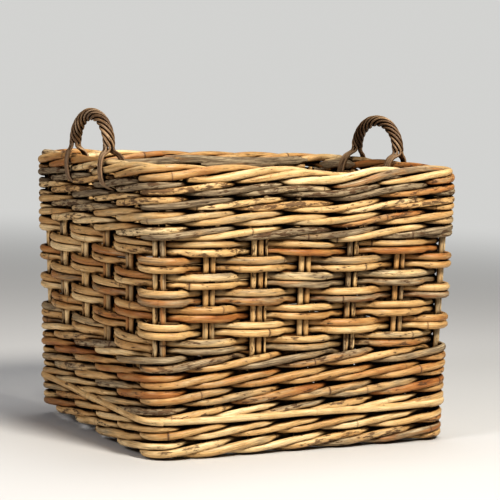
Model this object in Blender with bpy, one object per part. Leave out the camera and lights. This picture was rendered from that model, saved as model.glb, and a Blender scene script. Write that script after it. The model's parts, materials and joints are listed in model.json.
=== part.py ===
"""Rectangular wicker log basket with two twisted ear handles.

Every cane is its own solid. The stake canes run down one wall, across the floor and up the
opposite wall, in pairs. The floor weavers lace the floor, the wale and side weavers lace the
walls, and three thick canes close the rim. Metres, +Z up, origin on the ground under the
middle of the floor; the long sides run along X and the handles sit on the two short sides.
"""

from math import cos, pi, radians, sin, sqrt

import bmesh
import bpy
from mathutils import Vector

# Plan of the wall, measured on the line through the middle of the stakes.
WALL_HALF_LENGTH = 0.2470  # at the ground, along X
WALL_HALF_WIDTH = 0.1940  # at the ground, along Y
WALL_FLARE = 0.0244  # how far each wall leans out per metre of height
CORNER_RADIUS = 0.045
LONG_GAPS = 6  # stake gaps along a long side, corner pair to corner pair
SHORT_GAPS = 5  # stake gaps along a short side
STAKE_COUNT = 2 * (LONG_GAPS + SHORT_GAPS)

# Canes, as radii of round canes.
STAKE_RADIUS = 0.0041
LOWER_CANE_RADIUS = 0.0059
SIDE_CANE_RADIUS = 0.0060
UPPER_CANE_RADIUS = 0.0054
BORDER_RADIUS = 0.0064
FLOOR_CANE_RADIUS = 0.0042
STRAND_RADIUS = 0.0036
CLEARANCE = 0.0005  # the least air left between two canes

# Heights, from the ground up.
STAKE_SOLE = 0.0038  # height of a stake cane's middle where it turns under the wall
CORNER_FOOT = 0.0003  # where a corner stake ends, its lean bringing one edge to the ground
WEAVE_START = 0.0082  # bottom of the lowest cane
LOWER_ROWS = 6  # each row is one cane taken twice round
LOWER_PITCH = 0.0119
SIDE_ROWS = 7
SIDE_PITCH = 0.0119
UPPER_ROWS = 4
UPPER_PITCH = 0.0106
FLOOR_HEIGHT = 0.0205  # middle of the floor weave, domed up off the ground

# Lacing, in stake gaps along the wall.
WEAVE_JOIN = 11  # the stake pair where the weavers step up a round: the back right corner
RUN_ON = 0.5  # how far past its last stake pair a weaver goes
CORNER_HOLD = 0.12  # how far either side of a corner pair a weaver keeps its depth
CORNER_STEP = 0.42  # where a weaver bends again to follow the rounded corner
CORNER_DEPTH_SHARE = 0.87  # depth at a corner pair, as a share of the depth elsewhere

# Floor weave.
FLOOR_PITCH = 0.0115
FLOOR_HALF_RUN = 0.213  # where a floor weaver turns back, along X
FLOOR_ZONES = (3, 4, 4, 4, 3)  # weaver passes before, between and after the long stake pairs
SOLE_REACH = 0.021  # from the wall's middle to where a stake cane leaves the ground
LIFT_REACH = 0.036  # from the wall's middle to where it reaches the floor weave

# Handles: each is a rope of three bundles that forks over the rim.
HANDLE_HALF_SPAN = 0.062  # from the middle of the wall to the rope, where the arch springs
FOOT_HALF_SPAN = 0.078  # from the middle of the wall to the middle of a foot
HANDLE_SPRING = 0.036  # height of the springing over the rocking axis
HANDLE_RISE = 0.038  # height of the arch over its springing
HANDLE_STRANDS = 3
HANDLE_TURNS = 2  # twists of the rope from leg to leg
HANDLE_STEPS = 18
ROPE_RADIUS = 0.0063  # from the rope's middle to a bundle's middle
SADDLE_RADIUS = 0.0236  # from a prong's middle to the rocking axis
PRONG_SPREAD = 0.0115  # between neighbouring prongs of one foot, along the rim
PRONG_ANGLES = (58, 29, 0)  # degrees over the horizontal, down the side of the rim
FIRST_BUNDLE_ANGLE = 30  # degrees, where the first bundle stands in the rope

CANE_SIDES = 4
STRAND_SIDES = 6
BORDER_SIDES = 6

Z_AXIS = Vector((0, 0, 1))
PAIR_HALF = STAKE_RADIUS + 0.0004  # from a pair's middle to each cane's middle
CORNER_INDICES = (0, LONG_GAPS, LONG_GAPS + SHORT_GAPS, 2 * LONG_GAPS + SHORT_GAPS)


def equal_area(radius, sides):
    """Corner radius of the polygon with the area of a round cane."""
    return radius * sqrt(2 * pi / (sides * sin(2 * pi / sides)))


def flat_half(radius, sides):
    """Half the distance across the flats of that polygon."""
    return equal_area(radius, sides) * cos(pi / sides)


STAKE_HALF = flat_half(STAKE_RADIUS, CANE_SIDES)


def clear_scene():
    for obj in list(bpy.data.objects):
        bpy.data.objects.remove(obj, do_unlink=True)


def cane_material(name, colour, roughness):
    material = bpy.data.materials.new(name)
    material.use_nodes = True
    shader = material.node_tree.nodes["Principled BSDF"]
    shader.inputs["Base Color"].default_value = (*colour, 1.0)
    shader.inputs["Roughness"].default_value = roughness
    shader.inputs["Metallic"].default_value = 0.0
    return material


def sweep(name, path, radius, sides, material, closed=False, across=Z_AXIS, pivot=None):
    """A cane: a polygon section carried along the points of path, mitred at each one.

    Two flats of the section face along the vector across, or as near as the path allows.
    """
    corner = equal_area(radius, sides)
    first_angle = pi / 2 - pi / sides
    mesh = bmesh.new()
    rings = []
    count = len(path)
    for k, point in enumerate(path):
        before = path[k - 1] if (k or closed) else None
        after = path[(k + 1) % count] if (k < count - 1 or closed) else None
        arrive = (point - before).normalized() if before is not None else None
        leave = (after - point).normalized() if after is not None else arrive
        arrive = leave if arrive is None else arrive
        along = (arrive + leave).normalized()
        side = along.cross(across).normalized()
        up = side.cross(along)
        turn = leave - arrive
        stretch = 1 / max(arrive.dot(along), 0.5) - 1
        turn = turn.normalized() if turn.length > 1e-6 else Vector((0, 0, 0))
        ring = []
        for j in range(sides):
            angle = first_angle + 2 * pi * j / sides
            offset = (side * cos(angle) + up * sin(angle)) * corner
            offset += turn * offset.dot(turn) * stretch
            ring.append(mesh.verts.new(point + offset))
        rings.append(ring)
    for k in range(count if closed else count - 1):
        here, there = rings[k], rings[(k + 1) % count]
        for j in range(sides):
            n = (j + 1) % sides
            mesh.faces.new((here[j], here[n], there[n], there[j]))
    if not closed:
        mesh.faces.new(rings[0])
        mesh.faces.new(list(reversed(rings[-1])))
    bmesh.ops.recalc_face_normals(mesh, faces=mesh.faces)
    data = bpy.data.meshes.new(name)
    mesh.to_mesh(data)
    mesh.free()
    data.materials.append(material)
    cane = bpy.data.objects.new(name, data)
    cane.parent = pivot
    bpy.context.scene.collection.objects.link(cane)
    return cane


# ---------------------------------------------------------------- the wall's plan


def wall_frame(index, height):
    """(point on the wall's middle line, outward normal) at a stake index and a height.

    Index 0 is the front left corner pair, and it counts anticlockwise seen from above.
    """
    half_x = WALL_HALF_LENGTH + WALL_FLARE * height
    half_y = WALL_HALF_WIDTH + WALL_FLARE * height
    index %= STAKE_COUNT
    side = 0
    for gaps in (LONG_GAPS, SHORT_GAPS, LONG_GAPS, SHORT_GAPS):
        if index < gaps:
            break
        index -= gaps
        side += 1
    long_side = side % 2 == 0
    half_run = (half_x if long_side else half_y) - CORNER_RADIUS
    offset = (half_y if long_side else half_x) - CORNER_RADIUS
    eighth = CORNER_RADIUS * pi / 4
    reach = index / (LONG_GAPS if long_side else SHORT_GAPS)
    travel = (2 * reach - 1) * (half_run + eighth)
    straight = max(-half_run, min(half_run, travel))
    angle = (travel - straight) / CORNER_RADIUS
    # In the side's own frame the wall runs along +x and faces -y.
    x = straight + CORNER_RADIUS * sin(angle)
    y = -offset - CORNER_RADIUS * cos(angle)
    normal = Vector((sin(angle), -cos(angle), 0))
    point = Vector((x, y, 0))
    for _ in range(side % 4):
        point = Vector((-point.y, point.x, 0))
        normal = Vector((-normal.y, normal.x, 0))
    point.z = height
    return point, normal


def wall_point(index, depth, height):
    """Point at a distance out from the wall's middle line; depth is negative inside."""
    point, normal = wall_frame(index, height)
    return point + normal * depth


def lower_band_top():
    return WEAVE_START + 2 * LOWER_ROWS * LOWER_PITCH


def side_band_top():
    return lower_band_top() + 2 * SIDE_ROWS * SIDE_PITCH


def upper_band_top():
    return side_band_top() + 2 * UPPER_ROWS * UPPER_PITCH


def border_height():
    """Height of the two side by side canes of the border."""
    return upper_band_top() + flat_half(BORDER_RADIUS, BORDER_SIDES) + CLEARANCE


# ---------------------------------------------------------------- weavers


def weave_depth(radius):
    """Distance from the wall's middle to a weaver passing a stake pair.

    The weaver slants through the wall between pairs, so the depth is held large enough to
    clear the pair's outer edge too.
    """
    gap = 2 * (WALL_HALF_WIDTH - CORNER_RADIUS * (1 - pi / 4)) / SHORT_GAPS
    edge_share = (PAIR_HALF + STAKE_HALF) / gap
    slant_growth = 1.10
    needed = STAKE_HALF + flat_half(radius, CANE_SIDES) * slant_growth + CLEARANCE
    return needed / (1 - 2 * edge_share)


def round_corners(keys):
    """Adds the points that carry a run of (index, depth, height) keys round the corners.

    A cane that steps up a round does so between the two points before the corner pair.
    """
    full = []
    for k, (index, depth, height) in enumerate(keys):
        if index % STAKE_COUNT not in CORNER_INDICES:
            full.append((index, depth, height))
            continue
        held = depth * CORNER_DEPTH_SHARE
        if k:
            _, last_depth, last_height = keys[k - 1]
            bend_depth = depth + CORNER_STEP * (last_depth - depth)
            full.append((index - CORNER_STEP, bend_depth, last_height))
            full.append((index - CORNER_HOLD, held, height))
        else:
            full.append((index, held, height))
        if k + 1 < len(keys):
            next_depth = keys[k + 1][1]
            bend_depth = depth + CORNER_STEP * (next_depth - depth)
            full.append((index + CORNER_HOLD, held, height))
            full.append((index + CORNER_STEP, bend_depth, height))
    return full


def weave_row(name, low, pitch, radius, cycle, shift, material):
    """A cane taken twice round the wall, in behind one stake pair out of every cycle.

    It steps up a round as it comes back to its start, and stops short of it the second time.
    """
    depth = weave_depth(radius)
    keys = []
    for step in range(2 * STAKE_COUNT):
        height = low + pitch * (step // STAKE_COUNT)
        inside = (step + shift) % cycle == 0
        keys.append((WEAVE_JOIN + step, -depth if inside else depth, height))
    last, last_depth, last_height = keys[-1]
    keys.append((last + RUN_ON, last_depth * (1 - RUN_ON), last_height))
    path = [wall_point(*key) for key in round_corners(keys)]
    return sweep(name, path, radius, CANE_SIDES, material)


def weave_band(prefix, rows, bottom, pitch, radius, cycle, material):
    """Rows of one band; with a cycle of three each round moves on by one stake pair.

    With a cycle of two, the rows alternate and the top one passes behind the corner pair 0.
    """
    for row in range(rows):
        low = bottom + pitch * (2 * row + 0.5)
        shift = 2 * row * STAKE_COUNT if cycle == 3 else rows - row
        weave_row(f"{prefix}_{row + 1}", low, pitch, radius, cycle, shift, material)


def border_cane(name, depth, height, material):
    """One closed cane of the rim."""
    indices = []
    for index in range(STAKE_COUNT):
        if index in CORNER_INDICES:
            steps = (-CORNER_STEP, -CORNER_HOLD, CORNER_HOLD, CORNER_STEP)
            indices += [index + step for step in steps]
        else:
            indices.append(index)
    path = [wall_point(index, depth, height) for index in indices]
    return sweep(name, path, BORDER_RADIUS, BORDER_SIDES, material, closed=True)


# ---------------------------------------------------------------- stakes and floor


def stake_leg(index, shift, heights):
    """Points up a wall for one cane of a pair, shift being its place along the wall."""
    leg = []
    for height in heights:
        point, normal = wall_frame(index, height)
        leg.append(point + Z_AXIS.cross(normal) * shift)
    return leg


def long_pair_places():
    """Y of each stake pair that runs along X, on the floor."""
    indices = [LONG_GAPS + k for k in range(1, SHORT_GAPS)]
    return [wall_point(index, 0.0, STAKE_SOLE).y for index in indices]


def cross_pair_places():
    """X of each stake pair that runs along Y, on the floor."""
    return [wall_point(k, 0.0, STAKE_SOLE).x for k in range(1, LONG_GAPS)]


def sole_points(foot, inward):
    """The end of a cane's flat sole inside the wall, and where it meets the floor weave."""
    sole_inner = foot + inward * SOLE_REACH
    lift = foot + inward * LIFT_REACH
    lift.z = FLOOR_HEIGHT
    return sole_inner, lift


def cross_stake(number, sign, material):
    """A cane of a pair that crosses the floor along Y between the two long walls."""
    heights = (STAKE_SOLE, upper_band_top())
    front = stake_leg(number, sign * PAIR_HALF, heights)
    back_index = LONG_GAPS + SHORT_GAPS + LONG_GAPS - number
    back = stake_leg(back_index, -sign * PAIR_HALF, heights)
    floor = [*sole_points(front[0], Vector((0, 1, 0)))]
    floor += reversed(sole_points(back[0], Vector((0, -1, 0))))
    path = [*reversed(front), *floor, *back]
    hand = "left" if sign < 0 else "right"
    name = f"cross_stake_{number}_{hand}"
    return sweep(name, path, STAKE_RADIUS, CANE_SIDES, material, across=Vector((1, 0, 0)))


def floor_swing(radius):
    """How far a floor cane rises over and drops under the middle of a cross pair."""
    touching = flat_half(radius, CANE_SIDES) + STAKE_HALF + CLEARANCE
    places = cross_pair_places()
    edge_share = (PAIR_HALF + STAKE_HALF) / (places[1] - places[0])
    return touching / (1 - 2 * edge_share)


def floor_line(place, parity, radius):
    """Points of one floor cane over and under the cross pairs, from -X to +X."""
    swing = floor_swing(radius)
    points = []
    for k, x in enumerate(cross_pair_places()):
        lift = swing if (k + parity) % 2 == 0 else -swing
        points.append(Vector((x, place, FLOOR_HEIGHT + lift)))
    return points


def floor_layout():
    """The floor's lines from front to back: (places in each zone, parities of each pair)."""
    zones, parities = [], []
    pairs = long_pair_places()
    line = 0
    for zone, passes in enumerate(FLOOR_ZONES):
        if zone == 0:
            middle = pairs[0] - PAIR_HALF - FLOOR_PITCH * (passes + 1) / 2
        elif zone == len(pairs):
            middle = pairs[-1] + PAIR_HALF + FLOOR_PITCH * (passes + 1) / 2
        else:
            middle = (pairs[zone - 1] + pairs[zone]) / 2
        first = middle - FLOOR_PITCH * (passes - 1) / 2
        zones.append([(first + FLOOR_PITCH * k, line + k) for k in range(passes)])
        line += passes
        if zone < len(pairs):
            parities.append((line, line + 1))
            line += 2
    return zones, parities


def floor_weaver(number, lines, material):
    """A cane woven to and fro across the cross pairs."""
    path = []
    for k, (place, parity) in enumerate(lines):
        crossing = floor_line(place, parity, FLOOR_CANE_RADIUS)
        left_end = Vector((-FLOOR_HALF_RUN, place, FLOOR_HEIGHT))
        right_end = Vector((FLOOR_HALF_RUN, place, FLOOR_HEIGHT))
        run = [left_end, *crossing, right_end]
        path += run if k % 2 == 0 else reversed(run)
    name = f"floor_weaver_{number + 1}"
    return sweep(name, path, FLOOR_CANE_RADIUS, CANE_SIDES, material)


def long_stake(number, sign, parity, material):
    """A cane of a pair that crosses the floor along X between the two short walls."""
    right_index = LONG_GAPS + number
    left_index = STAKE_COUNT - number
    heights = (STAKE_SOLE, upper_band_top())
    right = stake_leg(right_index, sign * PAIR_HALF, heights)
    left = stake_leg(left_index, -sign * PAIR_HALF, heights)
    sole_left, lift_left = sole_points(left[0], Vector((1, 0, 0)))
    sole_right, lift_right = sole_points(right[0], Vector((-1, 0, 0)))
    crossing = floor_line(left[0].y, parity, STAKE_RADIUS)
    floor = [sole_left, lift_left, *crossing, lift_right, sole_right]
    path = [*reversed(left), *floor, *right]
    hand = "front" if sign < 0 else "back"
    name = f"long_stake_{number}_{hand}"
    return sweep(name, path, STAKE_RADIUS, CANE_SIDES, material, across=Vector((0, 1, 0)))


def corner_stake(place, corner, sign, material):
    """One of the two straight canes beside each other at a corner, standing on its end."""
    path = stake_leg(corner, sign * PAIR_HALF, (CORNER_FOOT, upper_band_top()))
    hand = "a" if sign < 0 else "b"
    outward = wall_frame(corner, CORNER_FOOT)[1]
    name = f"corner_stake_{place}_{hand}"
    return sweep(name, path, STAKE_RADIUS, CANE_SIDES, material, across=outward)


# ---------------------------------------------------------------- handles


def rocking_axis_height():
    return border_height() + 0.005


def handle_pivot(side_name, side_sign):
    pivot = bpy.data.objects.new(f"{side_name}_handle_pivot", None)
    wall = WALL_HALF_LENGTH + WALL_FLARE * border_height()
    pivot.location = (side_sign * wall, 0, rocking_axis_height())
    bpy.context.scene.collection.objects.link(pivot)
    return pivot


def rope_frame(share, outward):
    """(middle of the rope, direction square to it in the arch's plane) along the arch."""
    phi = pi * share
    rise = HANDLE_SPRING + HANDLE_RISE * sin(phi)
    middle = Vector((0, -HANDLE_HALF_SPAN * cos(phi), rise))
    along = Vector((0, HANDLE_HALF_SPAN * sin(phi), HANDLE_RISE * cos(phi))).normalized()
    return middle, along.cross(outward)


def prong(end, number, outward):
    """Points down one side of the rim, from the rope to the bundle's tip."""
    beside = rope_frame(end, outward)[1]
    foot = Vector((0, FOOT_HALF_SPAN * (2 * end - 1), 0))
    foot += beside * PRONG_SPREAD * (1, 0, -1)[number]
    face = outward * (1, -1, 1)[number]
    points = []
    for angle in PRONG_ANGLES:
        arm = face * cos(radians(angle)) + Z_AXIS * sin(radians(angle))
        points.append(foot + arm * SADDLE_RADIUS)
    return points


def handle_strand(side_name, side_sign, number, pivot, material):
    """A bundle of thin canes: twisted over the arch, forked over the rim at both ends."""
    outward = Vector((side_sign, 0, 0))
    rope = []
    for step in range(HANDLE_STEPS + 1):
        share = step / HANDLE_STEPS
        middle, beside = rope_frame(share, outward)
        twist = HANDLE_TURNS * share + number / HANDLE_STRANDS
        spin = radians(FIRST_BUNDLE_ANGLE) + 2 * pi * twist
        rope.append(middle + (outward * cos(spin) + beside * sin(spin)) * ROPE_RADIUS)
    path = [*reversed(prong(0, number, outward)), *rope, *prong(1, number, outward)]
    name = f"{side_name}_handle_strand_{'abc'[number]}"
    across = Vector((1, 0.2, 0.1))
    return sweep(name, path, STRAND_RADIUS, STRAND_SIDES, material, False, across, pivot)


def main():
    clear_scene()
    pale = cane_material("pale_cane", (0.55, 0.36, 0.16), 0.55)
    honey = cane_material("honey_cane", (0.47, 0.27, 0.11), 0.5)
    weathered = cane_material("weathered_cane", (0.36, 0.26, 0.15), 0.65)
    dark = cane_material("dark_twisted_cane", (0.13, 0.065, 0.035), 0.5)

    for number in range(1, LONG_GAPS):
        for sign in (-1, 1):
            cross_stake(number, sign, pale)
    zones, parities = floor_layout()
    for number in range(1, SHORT_GAPS):
        for sign, parity in zip((-1, 1), parities[number - 1]):
            long_stake(number, sign, parity, pale)
    corner_places = ("front_left", "front_right", "back_right", "back_left")
    for place, corner in zip(corner_places, CORNER_INDICES):
        for sign in (-1, 1):
            corner_stake(place, corner, sign, pale)
    for number, lines in enumerate(zones):
        floor_weaver(number, lines, weathered)

    bottom = WEAVE_START
    weave_band("lower_wale_row", LOWER_ROWS, bottom, LOWER_PITCH, LOWER_CANE_RADIUS, 3, honey)
    bottom = lower_band_top()
    weave_band("side_weaver_row", SIDE_ROWS, bottom, SIDE_PITCH, SIDE_CANE_RADIUS, 2, honey)
    bottom = side_band_top()
    band = (UPPER_ROWS, bottom, UPPER_PITCH, UPPER_CANE_RADIUS, 3)
    weave_band("upper_wale_row", *band, weathered)

    beside = equal_area(BORDER_RADIUS, BORDER_SIDES) + CLEARANCE
    above = 2 * flat_half(BORDER_RADIUS, BORDER_SIDES) + CLEARANCE
    border_cane("border_outer", beside, border_height(), honey)
    border_cane("border_inner", -beside, border_height(), weathered)
    border_cane("border_top", 0.0, border_height() + above, honey)

    for side_name, side_sign in (("left", -1), ("right", 1)):
        pivot = handle_pivot(side_name, side_sign)
        for number in range(HANDLE_STRANDS):
            handle_strand(side_name, side_sign, number, pivot, dark)


main()
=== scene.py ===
"""Looks of the rectangular wicker log basket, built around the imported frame.

Each cane of the weave is swept as a round rod along the line that it takes through the stakes:
a three-rod wale at the foot and under the rim, a doubled plain weave between them, a rolled
border and two rope handles. Canes share a few pieces, one for each band or part of the basket.
"""

import json
from math import cos, pi, radians, sin

import bpy
import numpy as np
from mathutils import Matrix, Vector


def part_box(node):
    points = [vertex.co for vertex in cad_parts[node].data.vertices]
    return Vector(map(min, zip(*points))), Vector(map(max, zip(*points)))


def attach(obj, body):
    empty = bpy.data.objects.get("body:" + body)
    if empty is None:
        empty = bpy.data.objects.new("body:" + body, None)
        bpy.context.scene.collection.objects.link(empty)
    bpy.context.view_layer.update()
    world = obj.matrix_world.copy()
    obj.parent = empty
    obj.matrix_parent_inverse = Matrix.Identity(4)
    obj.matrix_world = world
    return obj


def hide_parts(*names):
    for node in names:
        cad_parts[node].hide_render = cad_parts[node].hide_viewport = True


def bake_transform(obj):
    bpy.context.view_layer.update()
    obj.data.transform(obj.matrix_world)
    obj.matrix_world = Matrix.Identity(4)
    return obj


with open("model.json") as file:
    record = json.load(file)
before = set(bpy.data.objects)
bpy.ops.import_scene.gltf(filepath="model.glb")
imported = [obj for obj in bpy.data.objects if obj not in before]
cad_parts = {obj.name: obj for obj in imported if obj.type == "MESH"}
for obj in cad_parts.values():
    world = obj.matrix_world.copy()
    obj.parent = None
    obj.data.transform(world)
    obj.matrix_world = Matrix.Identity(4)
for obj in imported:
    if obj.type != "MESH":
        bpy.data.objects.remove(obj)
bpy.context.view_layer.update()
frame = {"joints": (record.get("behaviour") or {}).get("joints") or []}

MM = 0.001

# ---------------------------------------------------------------- sizes taken from the frame

LONG_GAPS = 6  # stake gaps along a long side, corner pair to corner pair
SHORT_GAPS = 5
STAKE_COUNT = 2 * (LONG_GAPS + SHORT_GAPS)
GAP = 0.08  # about how far apart two stake pairs stand
WALL_FLARE = 0.0244  # how far each wall leans out per metre of height
CORNER_RADIUS = 0.030  # of the line through the stakes, in plan
FRONT_SHIFT = 0.008  # how far the middle stakes of the front stand to the left

stake_low, stake_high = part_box("cross_stake_3_left")
CAD_STAKE_HALF = (stake_high.x - stake_low.x) / 2
STAKE_TOP = stake_high.z
HALF_WIDTH = stake_high.y - CAD_STAKE_HALF - WALL_FLARE * STAKE_TOP
HALF_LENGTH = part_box("long_stake_1_front")[1].x - CAD_STAKE_HALF - WALL_FLARE * STAKE_TOP
LOWER_ROUNDS = 6
SIDE_ROWS = 7
UPPER_ROUNDS = 4
SIDE_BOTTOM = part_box("side_weaver_row_1")[0].z
UPPER_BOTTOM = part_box("upper_wale_row_1")[0].z
BORDER_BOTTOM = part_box("border_outer")[0].z
RIM_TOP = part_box("border_top")[1].z
FLOOR_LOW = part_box("floor_weaver_1")[0].z
FLOOR_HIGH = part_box("floor_weaver_1")[1].z
FLOOR_HALF_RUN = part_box("floor_weaver_3")[1].x

# ---------------------------------------------------------------- canes of the weave

STAKE_RADIUS = 4.6 * MM
LOWER_RADIUS = 6.0 * MM
SIDE_RADIUS = 6.05 * MM
UPPER_RADIUS = 5.4 * MM
BORDER_RADIUS = 6.2 * MM
FLOOR_RADIUS = 4.2 * MM
STRAND_RADIUS = 2.5 * MM
LOWER_START = 3.0 * MM  # where the foot of the wale begins, low enough to hide the stakes' soles

LEAN = 0.022  # how far the basket leans to the left per metre of height
LIFT = 16 * MM  # how far the foot of the back left corner is off the ground
DIP = 9.5 * MM  # how far the front of the rim dips
DIP_PLACE = 0.045  # where along X it dips, and over what distance
DIP_REACH = 0.060
SWAY = 1.6 * MM  # height of the slow waves in the rim

SIDES = 10  # facets round a cane
STEP = 4.6 * MM  # between the sections of a cane
NODE_SPACING = (0.09, 0.26)  # shortest and longest way between two node rings of a cane
NODE_SWELL = 0.10  # how much thicker the strongest node ring is, as a share of the radius
TAPER = 0.02  # length over which a cane thins to its tip
BEVEL_REACH = 0.16  # length of the bevel at a cut end, over the cane's radius
BEVEL_SHARE = 0.78  # and the share of the radius that it leaves

rng = np.random.default_rng(20)


def ease(x):
    """Smooth step from 0 to 1."""
    x = np.clip(x, 0.0, 1.0)
    return x * x * (3 - 2 * x)


def wander(length_along, spacing, amount):
    """Slow random drift along a cane, at most about amount either way."""
    total = float(length_along[-1] - length_along[0])
    count = max(3, int(total / spacing) + 3)
    knots = rng.uniform(-1, 1, count) * amount
    place = (length_along - length_along[0]) / spacing
    low = np.clip(place.astype(int), 0, count - 2)
    share = ease(place - low)
    return knots[low] * (1 - share) + knots[low + 1] * share


def wall_frames(index, height):
    """Points on the wall's middle line and outward normals, at stake indices and heights.

    Index 0 is the front left corner pair, and it counts anticlockwise seen from above.
    """
    index = np.asarray(index, float)
    height = np.broadcast_to(np.asarray(height, float), index.shape)
    half_x = HALF_LENGTH + WALL_FLARE * height
    half_y = HALF_WIDTH + WALL_FLARE * height
    turn = np.mod(index, STAKE_COUNT)
    starts = np.cumsum([0, LONG_GAPS, SHORT_GAPS, LONG_GAPS])
    side = np.searchsorted(starts, turn, side="right") - 1
    gaps = np.array([LONG_GAPS, SHORT_GAPS, LONG_GAPS, SHORT_GAPS])[side]
    is_long = side % 2 == 0
    half_run = np.where(is_long, half_x, half_y) - CORNER_RADIUS
    offset = np.where(is_long, half_y, half_x) - CORNER_RADIUS
    share = (turn - starts[side]) / gaps
    travel = (2 * share - 1) * (half_run + CORNER_RADIUS * pi / 4)
    travel = travel - np.where(side == 0, FRONT_SHIFT, 0) * np.sin(pi * share)
    straight = np.clip(travel, -half_run, half_run)
    angle = (travel - straight) / CORNER_RADIUS
    x = straight + CORNER_RADIUS * np.sin(angle)
    y = -offset - CORNER_RADIUS * np.cos(angle)
    c, s = np.cos(side * pi / 2), np.sin(side * pi / 2)
    point = np.stack([x * c - y * s, x * s + y * c, height], -1)
    nx, ny = np.sin(angle), -np.cos(angle)
    normal = np.stack([nx * c - ny * s, nx * s + ny * c, np.zeros_like(nx)], -1)
    return point, normal


def wall_points(index, depth, height):
    """Points at a distance out from the wall's middle line; depth is negative inside."""
    point, normal = wall_frames(index, height)
    return point + normal * np.asarray(depth, float)[..., None]


def settle(points):
    """The sag of a hand-made basket, the same for everything that is woven into it."""
    out = points.copy()
    up = np.clip(points[:, 2] / RIM_TOP, 0, 1)
    near_front = ease(-points[:, 1] / HALF_WIDTH)
    dip = np.exp(-(((points[:, 0] - DIP_PLACE) / DIP_REACH) ** 2))
    out[:, 2] -= DIP * dip * near_front * up ** 3
    sway = np.sin(points[:, 0] * 9.0 + 0.6) * np.cos(points[:, 1] * 8.0)
    out[:, 2] += SWAY * sway * up
    to_left = np.clip((1 - points[:, 0] / HALF_LENGTH) / 2, 0, 1)
    to_back = np.clip((1 + points[:, 1] / HALF_WIDTH) / 2, 0, 1)
    out[:, 2] += LIFT * to_left * to_back * (1 - up)
    return out


def lean(points):
    """The slight lean of the whole basket."""
    return points - LEAN * points[:, 2:3] * np.array([1.0, 0.0, 0.0])


# ---------------------------------------------------------------- swept canes


def resample(path, step):
    """The same line with points at an even step, and the length along it."""
    lengths = np.linalg.norm(np.diff(path, axis=0), axis=1)
    along = np.concatenate([[0], np.cumsum(lengths)])
    count = max(3, int(round(along[-1] / step)) + 1)
    even = np.linspace(0, along[-1], count)
    return np.stack([np.interp(even, along, path[:, k]) for k in range(3)], -1), even


def soften(path, passes):
    """Rounds off the bends of an open line."""
    path = path.copy()
    for _ in range(passes):
        path[1:-1] = (path[:-2] + 2 * path[1:-1] + path[2:]) / 4
    return path


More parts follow.
